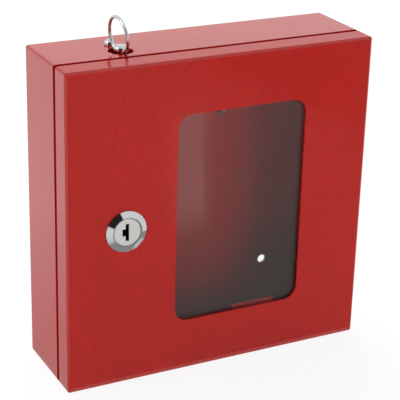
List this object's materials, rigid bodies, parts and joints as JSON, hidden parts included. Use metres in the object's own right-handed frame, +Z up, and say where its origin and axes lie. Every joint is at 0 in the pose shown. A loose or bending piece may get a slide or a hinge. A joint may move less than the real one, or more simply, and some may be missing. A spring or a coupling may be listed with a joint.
{
  "type": "break glass key box",
  "caption": "Wall box of folded steel for an emergency key: hinged door with a breakable glass window, a cam lock, a key hook and a striker rod drawn from its top by a ring.",
  "frame": {"origin": "centre of the four wall holes, on the outer face of the back panel", "axes": "+Y out of the back towards the wall, -Y out of the door, +X towards the hinge side, +Z up"},
  "size_m": [0.1639, 0.0515, 0.177],
  "materials": {
    "red_enamel": "gloss red enamel",
    "chrome": "polished",
    "zinc_steel": "zinc plated",
    "brass": "stamped",
    "window_glass": "clear"
  },
  "bodies": {
    "case": {"case_shell": "red_enamel", "hinge_leaf_case": "red_enamel", "hinge_pin": "zinc_steel", "hinge_rivets_case": "zinc_steel", "hook_plate": "zinc_steel", "key_hook": "zinc_steel", "striker_bracket": "red_enamel", "bracket_rivet": "chrome"},
    "door": {"door_pan": "red_enamel", "hinge_leaf_door": "red_enamel", "hinge_rivets_door": "zinc_steel", "glass_pane": "window_glass", "glass_rest": "red_enamel", "glass_guides": "red_enamel", "clip_studs": "zinc_steel", "clip_nuts": "zinc_steel", "lock_barrel": "chrome", "lock_nut": "zinc_steel"},
    "clip_left": {"turn_clip_left": "zinc_steel"},
    "clip_right": {"turn_clip_right": "zinc_steel"},
    "plug": {"lock_plug": "chrome", "lock_wafers": "brass", "wafer_springs": "zinc_steel", "lock_cam": "zinc_steel", "cam_washer": "zinc_steel", "cam_screw": "zinc_steel"},
    "striker": {"striker_rod": "chrome"},
    "ring": {"striker_ring": "chrome"}
  },
  "joints": [
    {"name": "door_hinge", "type": "hinge", "parent": "case", "child": "door", "pos_m": [0.0821, -0.037, 0], "axis": [0, 0, 1], "range_deg": [0, 170]},
    {"name": "lock_turn", "type": "hinge", "parent": "door", "child": "plug", "pos_m": [-0.0502, -0.042, 0], "axis": [0, 1, 0], "range_deg": [0, 90]},
    {"name": "clip_left_turn", "type": "hinge", "parent": "door", "child": "clip_left", "pos_m": [-0.0158, -0.0452, 0.0685], "axis": [0, 1, 0], "range_deg": [-90, 90]},
    {"name": "clip_right_turn", "type": "hinge", "parent": "door", "child": "clip_right", "pos_m": [0.0362, -0.0452, 0.0685], "axis": [0, 1, 0], "range_deg": [-90, 90]},
    {"name": "striker_slide", "type": "slide", "parent": "case", "child": "striker", "axis": [0, 0, 1], "range_m": [0, 0.07]},
    {"name": "ring_swing", "type": "hinge", "parent": "striker", "child": "ring", "pos_m": [-0.0434, -0.02632, 0.07877], "axis": [-0.0698, 0.9976, 0], "range_deg": [0, 10.8]}
  ]
}
